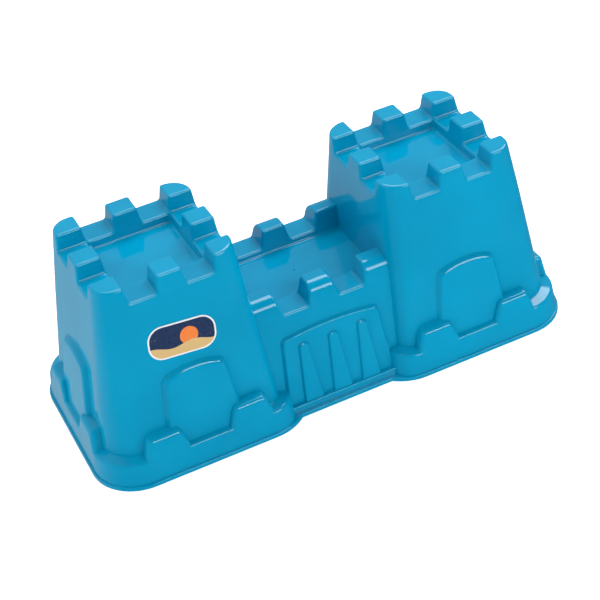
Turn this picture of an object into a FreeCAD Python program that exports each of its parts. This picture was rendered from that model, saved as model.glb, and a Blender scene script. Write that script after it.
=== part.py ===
"""Two-tower sand-castle mould, standing castle up on its open rim, with its printed label.

Millimetres. The origin is on the ground under the middle of the rim, +Z is up, +X runs along
the two towers and -Y is the gate side. The moulding is an outer castle less the same castle
drawn one wall thickness smaller, so every merlon, block and door is hollow behind.
"""
import FreeCAD, Part
import math
import os

import Sketcher
from FreeCAD import Placement, Rotation, Vector

SIZES = {
    # the moulding as a whole
    "tower_pitch": 170.0, "wall": 2.0, "bury": 10.0, "edge_round": 1.6, "small_round": 0.8,
    # rim flange
    "rim_half": 65.0, "rim_height": 2.4, "rim_corner": 28.0, "gate_rim_half": 57.7,
    # one tower
    "tower_height": 117.0, "tower_half_top": 40.8, "tower_half_base": 58.2,
    "tower_end_base": 59.2, "tower_gate_base": 48.4, "tower_gate_top": 40.3,
    "end_corner_top": 11.0, "end_corner_base": 23.0,
    "gate_corner_top": 13.0, "gate_corner_base": 10.5,
    "deck_height": 101.6, "deck_half_top": 26.4, "deck_half_floor": 24.4, "deck_corner": 2.0,
    "crenel_floor": 107.0, "crenel_middle": 16.6, "crenel_half_floor": 8.1,
    "crenel_half_top": 9.5, "crenel_round": 2.0,
    # skirt round a tower: a low ledge with raised blocks beside the doors
    "skirt_half_base": 64.0, "skirt_half_ledge": 62.0, "skirt_gate_base": 54.5,
    "skirt_gate_ledge": 52.3, "skirt_corner": 26.5, "skirt_gate_corner": 15.0,
    "ledge_height": 17.4, "ledge_rise": 1.7, "ledge_run": 8.0,
    "ledge_round": 1.8, "block_round": 3.0, "block_lip": 27.6, "block_slope": 10.0,
    "block_height": 30.0, "block_inner_low": 11.8, "block_inner_top": 17.0,
    "block_outer_low": 38.8, "block_outer_top": 34.6,
    "panel_foot": 3.0,
    # raised tower door
    "door_proud": 3.0, "door_taper": 38.0, "door_half_low": 25.5, "door_half_top": 18.6,
    "door_spring": 58.4, "door_crown": 62.4, "door_shoulder": 6.0, "door_round": 2.2,
    # gatehouse
    "gate_height": 72.3, "gate_half_top": 38.7, "gate_half_base": 51.5, "gate_brow": 8.0,
    "gate_deck_height": 57.5, "gate_deck_half_top": 25.4, "gate_deck_half_floor": 23.4,
    "gate_crenel_floor": 61.2, "gate_crenel_middle": 17.4, "gate_crenel_half_floor": 8.0,
    "gate_crenel_half_top": 10.4, "sill_half": 55.2, "sill_height": 6.4,
    # raised gate panel and its bars
    "panel_proud": 2.0, "panel_taper": 35.0, "panel_half_low": 34.8, "panel_half_top": 30.6,
    "panel_spring": 48.2, "panel_crown": 50.8, "panel_shoulder": 4.0,
    "bar_proud": 3.6, "bar_taper": 25.0, "bar_pitch": 18.4, "bar_half_low": 7.4,
    "bar_half_top": 4.0, "bar_spring": 42.0, "bar_crown": 44.0, "bar_shoulder": 2.5,
    # mark left where the plastic entered, on the gatehouse deck
    "sprue_radius": 1.1, "sprue_height": 0.4,
    # printed label
    "label_width": 39.0, "label_height": 20.0, "label_corner": 8.5, "label_thick": 0.3,
    "label_middle": 77.5, "label_shift": -1.5, "label_tilt": 5.0,
}
TOWER = "-Sizes.tower_pitch / 2"
EVERYWHERE = "Sizes.tower_half_base"


def fill_sheet(doc):
    sheet = doc.addObject("Spreadsheet::Sheet", "Sizes")
    for row, (alias, value) in enumerate(SIZES.items(), start=1):
        sheet.set("A%d" % row, alias)
        sheet.set("B%d" % row, str(value))
        sheet.setAlias("B%d" % row, alias)
    doc.recompute()


def bind(thing, **expressions):
    for name, expression in expressions.items():
        thing.setExpression(name, expression)


def size(name, skin="0"):
    """The sheet's value drawn in by a skin, as an expression."""
    return "(Sizes.%s - %s)" % (name, skin)


def drafted(doc, name, low, high, bottom, top):
    """A block between the plan `low` at the height `bottom` and the plan `high` at `top`.

    A plan is (x_min, x_max, y_min, y_max), each an expression on the sheet.
    """
    block = doc.addObject("Part::Wedge", name)
    block.Placement = Placement(Vector(), Rotation(Vector(1, 0, 0), 90))
    bind(block, Ymin=bottom, Ymax=top,
         Xmin=low[0], Xmax=low[1], Zmin="-(%s)" % low[3], Zmax="-(%s)" % low[2],
         X2min=high[0], X2max=high[1], Z2min="-(%s)" % high[3], Z2max="-(%s)" % high[2])
    doc.recompute()
    return block


def square(half):
    """The plan of a square of a tower, about the tower's axis."""
    return ("%s - %s" % (TOWER, half), "%s + %s" % (TOWER, half), "-%s" % half, half)


def band(middle, half, side):
    """The two ends of a band of +-half about +-middle."""
    return ["%d * %s %s %s" % (side, middle, sign, half) for sign in "-+"]


def rounded(doc, base, chosen):
    """Fillet each edge of `base` that `chosen` gives a (radius at low end, at high end) for."""
    fillet = doc.addObject("Part::Fillet", base.Name + "_round")
    fillet.Base = base
    edges = []
    for number, edge in enumerate(base.Shape.Edges, start=1):
        radii = chosen(edge)
        if radii:
            first, last = edge.valueAt(edge.FirstParameter), edge.valueAt(edge.LastParameter)
            edges.append((number,) + (radii if first.z <= last.z else radii[::-1]))
    fillet.Edges = edges
    doc.recompute()
    return fillet


def rises(edge):
    """Whether an edge runs upwards, like the corner of a block."""
    box = edge.BoundBox
    return box.ZLength > max(box.XLength, box.YLength)


def union(doc, name, shapes):
    result = doc.addObject("Part::MultiFuse", name)
    result.Shapes = shapes
    result.Refine = True
    doc.recompute()
    return result


def cut(doc, name, base, tools):
    result = doc.addObject("Part::Cut", name)
    result.Base = base
    result.Tool = union(doc, name + "_tools", tools) if len(tools) > 1 else tools[0]
    result.Refine = True
    doc.recompute()
    return result


def mirrored(doc, base, normal):
    result = doc.addObject("Part::Mirroring", base.Name + "_mirror")
    result.Source = base
    result.Normal = normal
    doc.recompute()
    return result


def floor_edges(height, length):
    """Picks the long level edges at one height."""
    def chosen(edge):
        box = edge.BoundBox
        level = box.ZLength < 1e-3 and abs(box.ZMin - height) < 1e-3
        return level and max(box.XLength, box.YLength) > length
    return chosen


def soften(doc, base, height):
    """Round every edge of a castle top from its deck upwards."""
    radius = doc.Sizes.edge_round
    return rounded(doc, base, lambda edge: (radius, radius) if edge.BoundBox.ZMin > height - 0.1 else None)


def tower(doc, tag, skin):
    """The tapered tower with its recessed deck and eight merlons."""
    sides = size("tower_half_base", skin)
    foot = ("%s - %s" % (TOWER, size("tower_end_base", skin)),
            "%s + %s" % (TOWER, size("tower_gate_base", skin)), "-" + sides, sides)
    brim = size("tower_half_top", skin)
    head = ("%s - %s" % (TOWER, brim), "%s + %s" % (TOWER, size("tower_gate_top", skin)),
            "-" + brim, brim)
    wall = drafted(doc, tag + "Tower", foot, head, "0", size("tower_height", skin))
    shrink = doc.Sizes.wall if skin != "0" else 0
    end_corners = (doc.Sizes.end_corner_base - shrink, doc.Sizes.end_corner_top - shrink)
    gate_corners = (doc.Sizes.gate_corner_base - shrink, doc.Sizes.gate_corner_top - shrink)
    middle = -doc.Sizes.tower_pitch / 2

    def corners(edge):
        if rises(edge):
            return end_corners if edge.CenterOfMass.x < middle else gate_corners
        return None

    wall = rounded(doc, wall, corners)
    grow = "-" + skin
    deck = drafted(doc, tag + "Deck", square(size("deck_half_floor", grow)),
                   square(size("deck_half_top", grow)), size("deck_height", skin),
                   size("tower_height", skin))
    deck_corner = doc.Sizes.deck_corner
    tools = [rounded(doc, deck, lambda edge: (deck_corner, deck_corner) if rises(edge) else None)]
    floor = doc.Sizes.crenel_floor - shrink
    long_floor = floor_edges(floor, doc.Sizes.tower_half_base)
    bend = doc.Sizes.crenel_round
    for side in (-1, 1):
        low = band("Sizes.crenel_middle", size("crenel_half_floor", grow), side)
        high = band("Sizes.crenel_middle", size("crenel_half_top", grow), side)
        across = ["%s - %s" % (TOWER, EVERYWHERE), "%s + %s" % (TOWER, EVERYWHERE)]
        along = ["-" + EVERYWHERE, EVERYWHERE]
        name = "%sCrenel%s" % (tag, "Left" if side < 0 else "Right")
        for axis, plans in (("X", (across + low, across + high)),
                            ("Y", ([TOWER + " + " + end for end in low] + along,
                                   [TOWER + " + " + end for end in high] + along))):
            slot = drafted(doc, name + axis, plans[0], plans[1], size("crenel_floor", skin),
                           size("tower_height", skin))
            tools.append(rounded(doc, slot, lambda edge: (bend, bend) if long_floor(edge) else None))
    top = cut(doc, tag + "TowerTop", wall, tools)
    return soften(doc, top, doc.Sizes.deck_height) if skin == "0" else top


def skirt(doc, tag, skin):
    """The low ledge round a tower's foot and the raised blocks on its outer faces."""
    base, ledge, top = size("skirt_half_base", skin), size("ledge_height", skin), size("block_height", skin)
    shrink = doc.Sizes.wall if skin != "0" else 0
    corner, bend = doc.Sizes.skirt_corner - shrink, doc.Sizes.ledge_round
    foot = ("%s - %s" % (TOWER, base), "%s + %s" % (TOWER, size("skirt_gate_base", skin)),
            "-" + base, base)
    brim = size("skirt_half_ledge", skin)
    head = ("%s - %s" % (TOWER, brim), "%s + %s" % (TOWER, size("skirt_gate_ledge", skin)),
            "-" + brim, brim)
    low = drafted(doc, tag + "Skirt", foot, head, "0", ledge)
    gate_corner = doc.Sizes.skirt_gate_corner - shrink
    middle = -doc.Sizes.tower_pitch / 2

    def corners(edge):
        if rises(edge):
            return (corner, corner) if edge.CenterOfMass.x < middle else (gate_corner, gate_corner)
        return None

    brink = doc.Sizes.ledge_height - shrink
    low = sloped(doc, rounded(doc, low, corners), brink,
                 (doc.Sizes.ledge_rise, doc.Sizes.ledge_run - shrink))
    lip = brink - doc.Sizes.ledge_rise
    low = rounded(doc, low, lambda edge: (bend, bend) if abs(edge.CenterOfMass.z - lip) < 0.1 else None)
    pieces = [low]
    root = "(%s - Sizes.ledge_rise - 2 * Sizes.edge_round)" % ledge
    lean = "(Sizes.skirt_half_base - Sizes.skirt_half_ledge) / Sizes.ledge_height"
    front_low, front_top = ["(%s - %s * %s)" % (base, lean, level) for level in (root, top)]
    back = "(%s - Sizes.bury)" % size("tower_half_base")
    step = "2 * Sizes.edge_round / (Sizes.block_height - Sizes.ledge_height)"
    lid = (size("block_lip", skin), "(%s - %s * %s)" % (base, lean, size("block_lip", skin)))
    lids = [tilted(doc, tag + "FrontLid", lid, False), tilted(doc, tag + "EndLid", lid, True)]
    inner_low = "(Sizes.block_inner_low + {0} - {1} * (Sizes.block_inner_top - Sizes.block_inner_low))"
    outer_low = "(Sizes.block_outer_low - {0} + {1} * (Sizes.block_outer_low - Sizes.block_outer_top))"
    foot = [text.format(skin, step) for text in (inner_low, outer_low)]
    head = ["(Sizes.block_inner_top + %s)" % skin, "(Sizes.block_outer_top - %s)" % skin]
    for side in (-1, 1):
        name = "%sBlock%s" % (tag, "Left" if side < 0 else "Right")
        low, high = [["%d * %s" % (side, end) for end in ends[::side]] for ends in (foot, head)]
        front = drafted(doc, name + "Front",
                        [TOWER + " + " + end for end in low] + ["-" + front_low, "-" + back],
                        [TOWER + " + " + end for end in high] + ["-" + front_top, "-" + back],
                        root, top)
        end = drafted(doc, name + "End",
                      ["%s - %s" % (TOWER, front_low), "%s - %s" % (TOWER, back)] + low,
                      ["%s - %s" % (TOWER, front_top), "%s - %s" % (TOWER, back)] + high,
                      root, top)
        front, end = [rounded(doc, cut(doc, block.Name + "Sloped", block, [cutter]), exposed(doc))
                      for block, cutter in zip((front, end), lids)]
        pieces += [front, mirrored(doc, front, Vector(0, 1, 0)), end]
    return pieces


def sloped(doc, base, top, bevel_sizes):
    """Bevel the edges of `base` at one height by a (fall, run), so its top falls away outwards."""
    bevel = doc.addObject("Part::Chamfer", base.Name + "_slope")
    bevel.Base = base
    bevel.Edges = [(number,) + bevel_sizes for number, edge in enumerate(base.Shape.Edges, start=1)
                   if abs(edge.CenterOfMass.z - top) < 1e-3]
    doc.recompute()
    return bevel


def tilted(doc, name, lip, end):
    """What is cut off above blocks whose tops rise from `lip` (height, reach) towards the wall."""
    box = doc.addObject("Part::Box", name)
    bind(box, Length="2 * Sizes.skirt_half_base", Width="2 * Sizes.skirt_half_base",
         Height="Sizes.skirt_half_base")
    height, reach = lip
    drop = "(%s - Sizes.bury * tan(Sizes.block_slope * 1 deg))" % height
    if end:
        spot = "vector(%s - %s - Sizes.bury; -Sizes.skirt_half_base; %s)" % (TOWER, reach, drop)
        turn = "rotation(0 deg; -Sizes.block_slope * 1 deg; 0 deg)"
    else:
        spot = "vector(%s - Sizes.skirt_half_base; -%s - Sizes.bury; %s)" % (TOWER, reach, drop)
        turn = "rotation(0 deg; 0 deg; Sizes.block_slope * 1 deg)"
    box.setExpression("Placement", "placement(%s; %s)" % (spot, turn))
    doc.recompute()
    return box


def exposed(doc):
    """Picks a block's edges that stay clear of the wall and of the ledge below it."""
    radius = doc.Sizes.block_round
    wall = doc.Sizes.tower_half_base - doc.Sizes.bury / 2
    middle = doc.Sizes.tower_pitch / 2

    def chosen(edge):
        box, spot = edge.BoundBox, edge.CenterOfMass
        clear = max(abs(spot.x + middle), abs(spot.y)) > wall and box.ZMax > doc.Sizes.ledge_height
        return (radius, radius) if clear else None
    return chosen


def arched(doc, name, outline, stand, plane):
    """A tapered panel with a segmental arched head, standing off a sloping wall.

    `outline` has the half widths at the foot and the head and the heights of the springing and
    the crown, `stand` has the height it stands proud and its taper, and `plane` is where its
    outline lies. All are expressions.
    """
    half_low, half_top, spring, crown = outline
    rise = "(%s - %s)" % (crown, spring)
    sketch = doc.addObject("Sketcher::SketchObject", name + "Outline")
    low, top, foot, head = 20.0, 15.0, 3.0, 40.0
    bow = Part.ArcOfCircle(Part.Circle(Vector(0, head - top), Vector(0, 0, 1), top * math.sqrt(2)),
                           math.pi / 4, 3 * math.pi / 4)
    sketch.addGeometry([Part.LineSegment(Vector(-low, foot), Vector(low, foot)),
                        Part.LineSegment(Vector(low, foot), Vector(top, head)),
                        bow,
                        Part.LineSegment(Vector(-top, head), Vector(-low, foot))])
    rule = Sketcher.Constraint
    sketch.addConstraint([rule("Coincident", 0, 2, 1, 1), rule("Coincident", 1, 2, 2, 1),
                          rule("Coincident", 2, 2, 3, 1), rule("Coincident", 3, 2, 0, 1),
                          rule("Symmetric", 0, 1, 0, 2, -2), rule("Symmetric", 1, 2, 3, 1, -2)])
    for title, held, expression in (
            ("Foot", rule("DistanceY", -1, 1, 0, 2, foot), "Sizes.panel_foot"),
            ("FootHalf", rule("DistanceX", -1, 1, 0, 2, low), half_low),
            ("Spring", rule("DistanceY", -1, 1, 1, 2, head), spring),
            ("HeadHalf", rule("DistanceX", -1, 1, 1, 2, top), half_top),
            ("Bow", rule("Radius", 2, top * math.sqrt(2)),
             "(%s^2 + %s^2) / (2 * %s)" % (half_top, rise, rise))):
        index = sketch.addConstraint(held)
        sketch.renameConstraint(index, title)
        sketch.setExpression("Constraints." + title, expression)
    sketch.setExpression("Placement", plane)
    panel = doc.addObject("Part::Extrusion", name)
    panel.Base = sketch
    panel.DirMode = "Normal"
    panel.Solid = True
    bind(panel, LengthFwd=stand[0], LengthRev="Sizes.bury", TaperAngle="-" + stand[1])
    doc.recompute()
    return panel


def on_wall(kind, middle, skin):
    """Where a sketch lies flat on the front wall of a tower or of the gatehouse."""
    lean = "atan((Sizes.{0}_half_base - Sizes.{0}_half_top) / Sizes.{0}_height)".format(kind)
    spot = "vector(%s; -%s; 0)" % (middle, size(kind + "_half_base", skin))
    return "placement(%s; rotation(0 deg; 0 deg; 90 deg - %s))" % (spot, lean)


def on_end(skin):
    """Where a sketch lies flat on the left tower's end wall."""
    lean = "atan((Sizes.tower_end_base - Sizes.tower_half_top) / Sizes.tower_height)"
    spot = "vector(%s - %s; 0; 0)" % (TOWER, size("tower_end_base", skin))
    return "placement(%s; rotation(-90 deg; 0 deg; 90 deg - %s))" % (spot, lean)


def doors(doc, tag, skin):
    """The raised door on each outer face of a tower."""
    outline = ["(Sizes.%s - %s / 2)" % (name, skin)
               for name in ("door_half_low", "door_half_top", "door_spring", "door_crown")]
    stand = ("Sizes.door_proud", "Sizes.door_taper")
    soft = doc.Sizes.door_shoulder - (doc.Sizes.wall / 2 if skin != "0" else 0)
    pieces = []
    for name, plane in (("FrontDoor", on_wall("tower", TOWER, skin)), ("EndDoor", on_end(skin))):
        door = arched(doc, tag + name, outline, stand, plane)
        door = rounded(doc, door, shoulders(doc.Sizes.door_spring / 2, soft))
        pieces.append(rounded(doc, door, face_rim(door, doc.Sizes.door_round)) if skin == "0" else door)
    return pieces + [mirrored(doc, pieces[0], Vector(0, 1, 0))]


def face_rim(panel, radius):
    """Picks the edges round the outermost flat face of a raised panel."""
    flat = [face for face in panel.Shape.Faces if face.Surface.TypeId == "Part::GeomPlane"]
    biggest = sorted(flat, key=lambda face: face.Area)[-2:]
    front = max(biggest, key=lambda face: abs(face.CenterOfMass.y) - face.CenterOfMass.x)
    return lambda edge: (radius, radius) if any(edge.isSame(rim) for rim in front.Edges) else None


def shoulders(above, radius):
    """Picks the short edges through a panel where its sides meet its arched head."""
    def chosen(edge):
        ends = [edge.valueAt(edge.FirstParameter).z, edge.valueAt(edge.LastParameter).z]
        through = min(ends) > above and abs(ends[0] - ends[1]) > 0.05
        return (radius, radius) if through else None
    return chosen


def gatehouse(doc, tag, skin):
    """The lower block between the towers, with its deck, merlons, sill, panel and bars."""
    grow = "-" + skin
    reach = "(Sizes.tower_pitch / 2)"
    along = ["-" + reach, reach]

    def both(half):
        return along + ["-" + half, half]

    wall = drafted(doc, tag + "Gate", both(size("gate_half_base", skin)),
                   both(size("gate_half_top", skin)), "0", size("gate_height", skin))
    shrink = doc.Sizes.wall if skin != "0" else 0
    brow = doc.Sizes.gate_brow - shrink
    brink = floor_edges(wall.Shape.BoundBox.ZMax, doc.Sizes.tower_pitch / 2)
    wall = rounded(doc, wall, lambda edge: (brow, brow) if brink(edge) else None)
    tools = [drafted(doc, tag + "GateDeck", both(size("gate_deck_half_floor", grow)),
                     both(size("gate_deck_half_top", grow)), size("gate_deck_height", skin),
                     size("gate_height", skin))]
    long_floor = floor_edges(doc.Sizes.gate_crenel_floor - shrink, doc.Sizes.gate_half_base)
    bend = doc.Sizes.crenel_round
    for side in (-1, 1):
        name = "%sGateCrenel%s" % (tag, "Left" if side < 0 else "Right")
        across = ["-Sizes.gate_half_base", "Sizes.gate_half_base"]
        low = band("Sizes.gate_crenel_middle", size("gate_crenel_half_floor", grow), side)
        high = band("Sizes.gate_crenel_middle", size("gate_crenel_half_top", grow), side)
        slot = drafted(doc, name, low + across, high + across, size("gate_crenel_floor", skin),
                       size("gate_height", skin))
        tools.append(rounded(doc, slot, lambda edge: (bend, bend) if long_floor(edge) else None))
    top = cut(doc, tag + "GateTop", wall, tools)
    if skin == "0":
        top = soften(doc, top, doc.Sizes.gate_deck_height)
    sill = size("sill_half", skin)
    lip = doc.Sizes.sill_height - shrink
    small = doc.Sizes.small_round
    step = drafted(doc, tag + "Sill", both(sill), both(sill), "0", size("sill_height", skin))
    level = floor_edges(lip, doc.Sizes.tower_pitch / 2)
    pieces = [top, rounded(doc, step, lambda edge: (small, small) if level(edge) else None)]
    panel = ["(Sizes.%s - %s / 2)" % (name, skin)
             for name in ("panel_half_low", "panel_half_top", "panel_spring", "panel_crown")]
    bar = ["(Sizes.%s - %s / 2)" % (name, skin)
           for name in ("bar_half_low", "bar_half_top", "bar_spring", "bar_crown")]
    front = arched(doc, tag + "Panel", panel, ("Sizes.panel_proud", "Sizes.panel_taper"),
                   on_wall("gate", "0", skin))
    half_shrink = shrink / 2
    front = rounded(doc, front, shoulders(doc.Sizes.panel_spring / 2,
                                          doc.Sizes.panel_shoulder - half_shrink))
    raised = [rounded(doc, front, face_rim(front, small)) if skin == "0" else front]
    for place in (-1, 0, 1):
        stave = arched(doc, "%sBar%d" % (tag, place + 2), bar, ("Sizes.bar_proud", "Sizes.bar_taper"),
                       on_wall("gate", "%d * Sizes.bar_pitch" % place, skin))
        stave = rounded(doc, stave, shoulders(doc.Sizes.bar_spring / 2,
                                              doc.Sizes.bar_shoulder - half_shrink))
        raised.append(rounded(doc, stave, face_rim(stave, small)) if skin == "0" else stave)
    return pieces + raised + [mirrored(doc, thing, Vector(0, 1, 0)) for thing in raised]


def rim(doc):
    """The thin flange round the open foot of the whole castle."""
    corner, small = doc.Sizes.rim_corner, doc.Sizes.small_round
    lip = doc.Sizes.rim_height
    one = drafted(doc, "TowerRim", square("Sizes.rim_half"), square("Sizes.rim_half"), "0",
                  "Sizes.rim_height")
    one = rounded(doc, one, lambda edge: (corner, corner) if abs(edge.Length - lip) < 1e-6 else None)
    one = rounded(doc, one, lambda edge: (small, small) if edge.CenterOfMass.z > lip - 0.1 else None)
    plan = ["-Sizes.tower_pitch / 2", "Sizes.tower_pitch / 2",
            "-Sizes.gate_rim_half", "Sizes.gate_rim_half"]
    gate = drafted(doc, "GateRim", plan, plan, "0", "Sizes.rim_height")
    level = floor_edges(lip, doc.Sizes.tower_pitch / 2)
    gate = rounded(doc, gate, lambda edge: (small, small) if level(edge) else None)
    return [one, mirrored(doc, one, Vector(1, 0, 0)), gate]


def sprue(doc):
    """The small mark left where the plastic entered, in the middle of the gatehouse deck."""
    mark = doc.addObject("Part::Cone", "Sprue")
    bind(mark, Radius1="Sizes.sprue_radius", Radius2="Sizes.sprue_radius / 2",
         Height="Sizes.sprue_height + Sizes.wall / 2")
    mark.setExpression("Placement.Base.z", "Sizes.gate_deck_height - Sizes.wall / 2")
    doc.recompute()
    return mark


def castle(doc, tag, skin, extra=()):
    """The whole castle drawn in by `skin`, as one solid."""
    one = union(doc, tag + "OneTower",
                [tower(doc, tag, skin)] + skirt(doc, tag, skin) + doors(doc, tag, skin))
    return union(doc, tag + "Castle", [one, mirrored(doc, one, Vector(1, 0, 0))]
                 + gatehouse(doc, tag, skin) + list(extra))


def label(doc):
    """The printed label, lying flat on the front wall of the left tower."""
    sketch = doc.addObject("Sketcher::SketchObject", "LabelOutline")
    across, up, corner = 15.0, 8.0, 4.0
    quarter = math.pi / 2
    lines = [((across - corner, up), (corner - across, up)), ((-across, up - corner), (-across, corner - up)),
             ((corner - across, -up), (across - corner, -up)), ((across, corner - up), (across, up - corner))]
    centres = [(corner - across, up - corner), (corner - across, corner - up),
               (across - corner, corner - up), (across - corner, up - corner)]
    for index, (start, end) in enumerate(lines):
        sketch.addGeometry(Part.LineSegment(Vector(*start), Vector(*end)))
        turn = (index + 1) * quarter
        sketch.addGeometry(Part.ArcOfCircle(Part.Circle(Vector(*centres[index]), Vector(0, 0, 1), corner),
                                            turn, turn + quarter))
    rule = Sketcher.Constraint
    for index in range(4):
        line, arc, after = 2 * index, 2 * index + 1, (2 * index + 2) % 8
        sketch.addConstraint([rule("Tangent", line, 2, arc, 1), rule("Tangent", arc, 2, after, 1)])
    sketch.addConstraint([rule("Horizontal", 4), rule("Vertical", 6),
                          rule("Equal", 1, 3), rule("Equal", 3, 5), rule("Equal", 5, 7),
                          rule("Symmetric", 0, 1, 0, 2, -2), rule("Symmetric", 2, 1, 2, 2, -1)])
    for title, held, expression in (
            ("Corner", rule("Radius", 1, corner), "Sizes.label_corner"),
            ("Top", rule("DistanceY", -1, 1, 0, 1, up), "Sizes.label_height / 2"),
            ("Side", rule("DistanceX", 2, 1, -1, 1, across), "Sizes.label_width / 2")):
        index = sketch.addConstraint(held)
        sketch.renameConstraint(index, title)
        sketch.setExpression("Constraints." + title, expression)
    lean = "atan((Sizes.tower_half_base - Sizes.tower_half_top) / Sizes.tower_height)"
    inset = "Sizes.label_middle * (Sizes.tower_half_base - Sizes.tower_half_top) / Sizes.tower_height"
    spot = "vector(%s + Sizes.label_shift; %s - Sizes.tower_half_base; Sizes.label_middle)" % (TOWER, inset)
    sketch.setExpression("Placement", "placement(%s; rotation(0 deg; 0 deg; 90 deg - %s) * "
                         "rotation(-Sizes.label_tilt * 1 deg; 0 deg; 0 deg))" % (spot, lean))
    plate = doc.addObject("Part::Extrusion", "Label")
    plate.Base = sketch
    plate.DirMode = "Normal"
    plate.Solid = True
    plate.setExpression("LengthFwd", "Sizes.label_thick")
    doc.recompute()
    return plate


def export(doc, nodes):
    """Check the document, then write each node's shape under its label."""
    for thing in doc.Objects:
        if "Invalid" in thing.State or "Error" in thing.State:
            raise RuntimeError("%s is in the state %s" % (thing.Name, thing.State))
    os.makedirs("parts", exist_ok=True)
    for node, thing in nodes.items():
        shape = thing.Shape
        if shape.isNull() or not shape.isValid() or len(shape.Solids) != 1:
            raise RuntimeError("%s is not one valid solid" % node)
        thing.Label = node
        shape.exportStep("parts/%s.step" % node)


def main():
    doc = FreeCAD.newDocument("SandCastleMould")
    fill_sheet(doc)
    outside = castle(doc, "Outer", "0", rim(doc) + [sprue(doc)])
    inside = castle(doc, "Inner", "Sizes.wall")
    shell = cut(doc, "Shell", outside, [inside])
    export(doc, {"castle_moulding": shell, "wall_label": label(doc)})


main()
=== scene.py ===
"""The sand-castle mould's looks: glossy cyan-blue plastic, its printed label, a pale studio."""
import math

import bpy
from mathutils import Matrix, Vector


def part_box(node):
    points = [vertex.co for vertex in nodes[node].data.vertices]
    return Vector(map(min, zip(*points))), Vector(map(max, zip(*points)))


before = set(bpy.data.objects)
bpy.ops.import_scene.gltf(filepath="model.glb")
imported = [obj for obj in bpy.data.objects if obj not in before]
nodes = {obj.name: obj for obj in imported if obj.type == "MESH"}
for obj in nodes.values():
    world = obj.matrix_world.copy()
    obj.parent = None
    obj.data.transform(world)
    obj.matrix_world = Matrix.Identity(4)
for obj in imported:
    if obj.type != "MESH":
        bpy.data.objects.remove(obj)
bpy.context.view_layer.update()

# Camera: where it stands, what it looks along and how far it is rolled, in metres and degrees
CAMERA_AZIMUTH = -20.51
CAMERA_ELEVATION = 37.31
CAMERA_ROLL = -8.10
CAMERA_DISTANCE = 0.9194
CAMERA_AIM = (0.0008, 0.0, 0.0346)
LENS, SENSOR = 93.40, 36.0

# Where the camera's view is clipped, in metres
CLIP_NEAR, CLIP_FAR = 0.05, 20.0

# Colours, linear
PLASTIC = (0.0, 0.256, 0.446, 1.0)
PLASTIC_THIN = (0.0, 0.296, 0.505, 1.0)
LABEL_WHITE = (0.78, 0.79, 0.80, 1.0)
LABEL_SEA = (0.010, 0.030, 0.095, 1.0)
LABEL_SUN = (0.80, 0.20, 0.030, 1.0)
LABEL_SAND = (0.62, 0.42, 0.17, 1.0)
FLOOR_WHITE = (0.90, 0.90, 0.90, 1.0)
FLOOR_SHADE = (0.87, 0.87, 0.87, 1.0)
FLOOR_LIFT = 0.60

# Plastic: noise scales per metre, bump depths in metres with their strengths
CLOUD_SCALE, SCUFF_SCALE, SMEAR_SCALE = 18.0, 260.0, 30.0
SCUFF_STRETCH = (1.0, 1.0, 0.15)
ROUGHNESS_CLEAN, ROUGHNESS_WORN = 0.08, 0.17
PEEL_SCALE, PEEL_DEPTH, PEEL_STRENGTH = 420.0, 0.00001, 0.3
RIPPLE_SCALE, RIPPLE_DEPTH, RIPPLE_STRENGTH = 22.0, 0.0004, 0.25
PLASTIC_IOR = 1.49

# Label print: noise scale per metre, wear, sheen and bump
INK_SCALE, INK_WORN_AWAY = 900.0, 0.22
INK_DEPTH, INK_STRENGTH = 0.00003, 0.3
LABEL_ROUGHNESS = (0.26, 0.38)

# Floor
FLOOR_GRAIN_SCALE, FLOOR_ROUGHNESS = 40.0, 0.6

# Label artwork, in metres on its own face
LABEL_HALF = (0.0195, 0.0100)
LABEL_CORNER = 0.0085
LABEL_BORDER = 0.0009
LABEL_TILT = 5.0
SUN_PLACE, SUN_RADIUS = (0.004, 0.0005), 0.0052
DUNE_TOP, DUNE_SWELL, DUNE_WAVES = -0.0035, 0.0012, 260.0

# Studio: name, place, size along X and across, power, whether the plastic mirrors it
SOFT_BOXES = (
    ("overhead", (0.43, 0.43, 1.03), (1.20, 0.55), 12.0, True),
    ("front", (0.43, -0.90, 0.66), (1.00, 0.40), 8.2, True),
    ("left_fill", (-0.95, -0.05, 0.55), (0.80, 0.80), 4.2, False),
    ("top_fill", (-0.60, -0.10, 1.10), (1.00, 1.00), 3.5, False),
)
LIGHT_AIM = (0.0, 0.0, 0.05)
WORLD_TINT = (1.0, 1.0, 1.0, 1.0)
WORLD_BRIGHT_SIDE = (-0.4, 0.917, 0.0)
WORLD_DIM, WORLD_BRIGHT = 0.06, 0.44
WORLD_FADE = (-0.15, 0.90)
FLOOR_SIZE, FLOOR_DROP = 16.0, 0.0002


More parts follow.
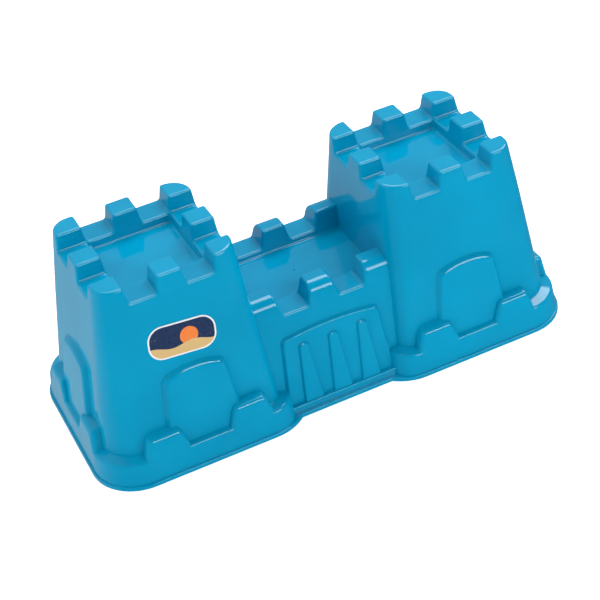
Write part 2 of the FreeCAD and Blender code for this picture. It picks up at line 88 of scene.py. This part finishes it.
class Shading:
    """A material's node tree, with short ways to add and join nodes."""

    def __init__(self, name):
        self.material = bpy.data.materials.new(name)
        self.material.use_nodes = True
        self.tree = self.material.node_tree
        self.shader = self.tree.nodes["Principled BSDF"]

    def add(self, kind, **settings):
        node = self.tree.nodes.new(kind)
        for key, value in settings.items():
            setattr(node, key, value)
        return node

    def join(self, source, target):
        self.tree.links.new(source, target)

    def feed(self, socket, value):
        if isinstance(value, bpy.types.NodeSocket):
            self.join(value, socket)
        else:
            socket.default_value = value

    def maths(self, operation, first, second=0.0):
        node = self.add("ShaderNodeMath", operation=operation)
        self.feed(node.inputs[0], first)
        self.feed(node.inputs[1], second)
        return node.outputs[0]

    def noise(self, where, scale, detail=3.0, stretch=(1, 1, 1)):
        mapping = self.add("ShaderNodeMapping")
        mapping.inputs["Scale"].default_value = stretch
        self.join(where, mapping.inputs["Vector"])
        node = self.add("ShaderNodeTexNoise")
        node.inputs["Scale"].default_value = scale
        node.inputs["Detail"].default_value = detail
        self.join(mapping.outputs[0], node.inputs["Vector"])
        return node.outputs["Fac"]

    def spread(self, value, low, high, to_low, to_high):
        node = self.add("ShaderNodeMapRange")
        self.join(value, node.inputs["Value"])
        for name, number in (("From Min", low), ("From Max", high), ("To Min", to_low), ("To Max", to_high)):
            node.inputs[name].default_value = number
        return node.outputs[0]

    def mix(self, factor, first, second):
        node = self.add("ShaderNodeMix", data_type="RGBA")
        self.feed(node.inputs["Factor"], factor)
        self.feed(node.inputs[6], first)
        self.feed(node.inputs[7], second)
        return node.outputs[2]

    def bump(self, height, distance, strength=1.0, under=None):
        node = self.add("ShaderNodeBump")
        node.inputs["Distance"].default_value = distance
        node.inputs["Strength"].default_value = strength
        self.join(height, node.inputs["Height"])
        if under is not None:
            self.join(under, node.inputs["Normal"])
        return node.outputs["Normal"]


def plastic():
    """Glossy polypropylene: slight flow clouding, fine scuffs and a faint orange peel."""
    look = Shading("blue_plastic")
    where = look.add("ShaderNodeTexCoord").outputs["Object"]
    clouds = look.noise(where, CLOUD_SCALE, 4.0)
    colour = look.mix(look.spread(clouds, 0.3, 0.7, 0.0, 1.0), PLASTIC, PLASTIC_THIN)
    look.join(colour, look.shader.inputs["Base Color"])
    scuffs = look.noise(where, SCUFF_SCALE, 5.0, SCUFF_STRETCH)
    smears = look.noise(where, SMEAR_SCALE)
    wear = look.maths("MULTIPLY", look.spread(scuffs, 0.45, 0.75, 0.0, 1.0),
                      look.spread(smears, 0.4, 0.7, 0.3, 1.0))
    look.join(look.spread(wear, 0.0, 1.0, ROUGHNESS_CLEAN, ROUGHNESS_WORN), look.shader.inputs["Roughness"])
    ripple = look.bump(look.noise(where, RIPPLE_SCALE, 2.0), RIPPLE_DEPTH, RIPPLE_STRENGTH)
    peel = look.bump(look.noise(where, PEEL_SCALE, 2.0), PEEL_DEPTH, PEEL_STRENGTH, ripple)
    look.join(peel, look.shader.inputs["Normal"])
    look.shader.inputs["IOR"].default_value = PLASTIC_IOR
    return look.material


def printed_label():
    """White-bordered vinyl with a low sun over a dune."""
    look = Shading("printed_label")
    low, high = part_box("wall_label")
    middle = (low + high) / 2
    split = look.add("ShaderNodeSeparateXYZ")
    where = look.add("ShaderNodeTexCoord").outputs["Object"]
    look.join(where, split.inputs[0])
    across = look.maths("SUBTRACT", split.outputs["X"], middle.x)
    up = look.maths("SUBTRACT", split.outputs["Z"], middle.z)
    turn = math.radians(LABEL_TILT)
    level = look.maths("SUBTRACT", look.maths("MULTIPLY", across, math.cos(turn)),
                       look.maths("MULTIPLY", up, math.sin(turn)))
    rise = look.maths("ADD", look.maths("MULTIPLY", across, math.sin(turn)),
                      look.maths("MULTIPLY", up, math.cos(turn)))
    wave = look.maths("MULTIPLY", look.maths("SINE", look.maths("MULTIPLY", level, DUNE_WAVES)), DUNE_SWELL)
    dune = look.maths("LESS_THAN", rise, look.maths("ADD", wave, DUNE_TOP))
    reach = look.maths("SQRT", look.maths("ADD",
                       look.maths("POWER", look.maths("SUBTRACT", level, SUN_PLACE[0]), 2.0),
                       look.maths("POWER", look.maths("SUBTRACT", rise, SUN_PLACE[1]), 2.0)))
    sun = look.maths("LESS_THAN", reach, SUN_RADIUS)
    overhang = []
    for along, half in ((level, LABEL_HALF[0]), (rise, LABEL_HALF[1])):
        beyond = look.maths("SUBTRACT", look.maths("ABSOLUTE", along), half - LABEL_CORNER)
        overhang.append(look.maths("POWER", look.maths("MAXIMUM", beyond, 0.0), 2.0))
    edge = look.maths("SQRT", look.maths("ADD", *overhang))
    border = look.maths("GREATER_THAN", edge, LABEL_CORNER - LABEL_BORDER)
    picture = look.mix(dune, look.mix(sun, LABEL_SEA, LABEL_SUN), LABEL_SAND)
    ink = look.noise(where, INK_SCALE)
    worn = look.mix(look.spread(ink, 0.66, 0.82, 0.0, INK_WORN_AWAY), picture, LABEL_WHITE)
    look.join(look.mix(border, worn, LABEL_WHITE), look.shader.inputs["Base Color"])
    look.join(look.spread(ink, 0.3, 0.7, *LABEL_ROUGHNESS), look.shader.inputs["Roughness"])
    look.join(look.bump(ink, INK_DEPTH, INK_STRENGTH), look.shader.inputs["Normal"])
    return look.material


def dress(node, material):
    materials = nodes[node].data.materials
    materials.clear()
    materials.append(material)


def lay_floor():
    """A pale seamless floor that the plastic doesn't mirror."""
    look = Shading("studio_floor")
    where = look.add("ShaderNodeTexCoord").outputs["Object"]
    grain = look.noise(where, FLOOR_GRAIN_SCALE, 2.0)
    look.join(look.mix(grain, FLOOR_WHITE, FLOOR_SHADE), look.shader.inputs["Base Color"])
    look.shader.inputs["Roughness"].default_value = FLOOR_ROUGHNESS
    look.shader.inputs["Emission Color"].default_value = FLOOR_WHITE
    look.shader.inputs["Emission Strength"].default_value = FLOOR_LIFT
    bpy.ops.mesh.primitive_plane_add(size=FLOOR_SIZE, location=(0.0, 0.0, -FLOOR_DROP))
    floor = bpy.context.object
    floor.name = "studio_floor"
    floor.data.materials.append(look.material)
    floor.visible_glossy = False


def hang_lamps():
    """The soft boxes, each facing the castle with its first side along X."""
    for name, place, size, power, mirrored in SOFT_BOXES:
        lamp = bpy.data.lights.new(name, "AREA")
        lamp.shape = "RECTANGLE"
        lamp.size, lamp.size_y = size
        lamp.energy = power
        holder = bpy.data.objects.new(name, lamp)
        holder.visible_glossy = mirrored
        bpy.context.scene.collection.objects.link(holder)
        away = (Vector(place) - Vector(LIGHT_AIM)).normalized()
        along = (Vector((1, 0, 0)) - away * away.x).normalized()
        turn = Matrix((along, away.cross(along), away)).transposed().to_4x4()
        holder.matrix_world = Matrix.Translation(place) @ turn


def light_world():
    """A dim surround that brightens towards the back left, for the end walls to mirror."""
    world = bpy.data.worlds.new("studio")
    world.use_nodes = True
    tree = world.node_tree
    backdrop = tree.nodes["Background"]
    backdrop.inputs["Color"].default_value = WORLD_TINT
    heading = tree.nodes.new("ShaderNodeVectorMath")
    heading.operation = "DOT_PRODUCT"
    heading.inputs[1].default_value = WORLD_BRIGHT_SIDE
    tree.links.new(tree.nodes.new("ShaderNodeTexCoord").outputs["Generated"], heading.inputs[0])
    glow = tree.nodes.new("ShaderNodeMapRange")
    glow.interpolation_type = "SMOOTHSTEP"
    for name, number in (("From Min", WORLD_FADE[0]), ("From Max", WORLD_FADE[1]),
                         ("To Min", WORLD_DIM), ("To Max", WORLD_BRIGHT)):
        glow.inputs[name].default_value = number
    tree.links.new(heading.outputs["Value"], glow.inputs["Value"])
    tree.links.new(glow.outputs[0], backdrop.inputs["Strength"])
    bpy.context.scene.world = world


def camera():
    """Stand the camera on its bearing, rolled a little, looking at the castle."""
    azimuth, elevation = math.radians(CAMERA_AZIMUTH), math.radians(CAMERA_ELEVATION)
    back = Vector((math.sin(azimuth) * math.cos(elevation), -math.cos(azimuth) * math.cos(elevation),
                   math.sin(elevation)))
    level = Vector((0, 0, 1)).cross(back).normalized()
    tilt = Matrix.Rotation(math.radians(CAMERA_ROLL), 3, back)
    right = tilt @ level
    up = back.cross(right)
    data = bpy.data.cameras.new("camera")
    data.lens, data.sensor_width = LENS, SENSOR
    data.clip_start, data.clip_end = CLIP_NEAR, CLIP_FAR
    holder = bpy.data.objects.new("camera", data)
    bpy.context.scene.collection.objects.link(holder)
    turn = Matrix((right, up, back)).transposed().to_4x4()
    holder.matrix_world = Matrix.Translation(Vector(CAMERA_AIM) + back * CAMERA_DISTANCE) @ turn
    bpy.context.scene.camera = holder


dress("castle_moulding", plastic())
dress("wall_label", printed_label())
lay_floor()
hang_lamps()
light_world()
camera()
bpy.context.scene.view_settings.view_transform = "Standard"
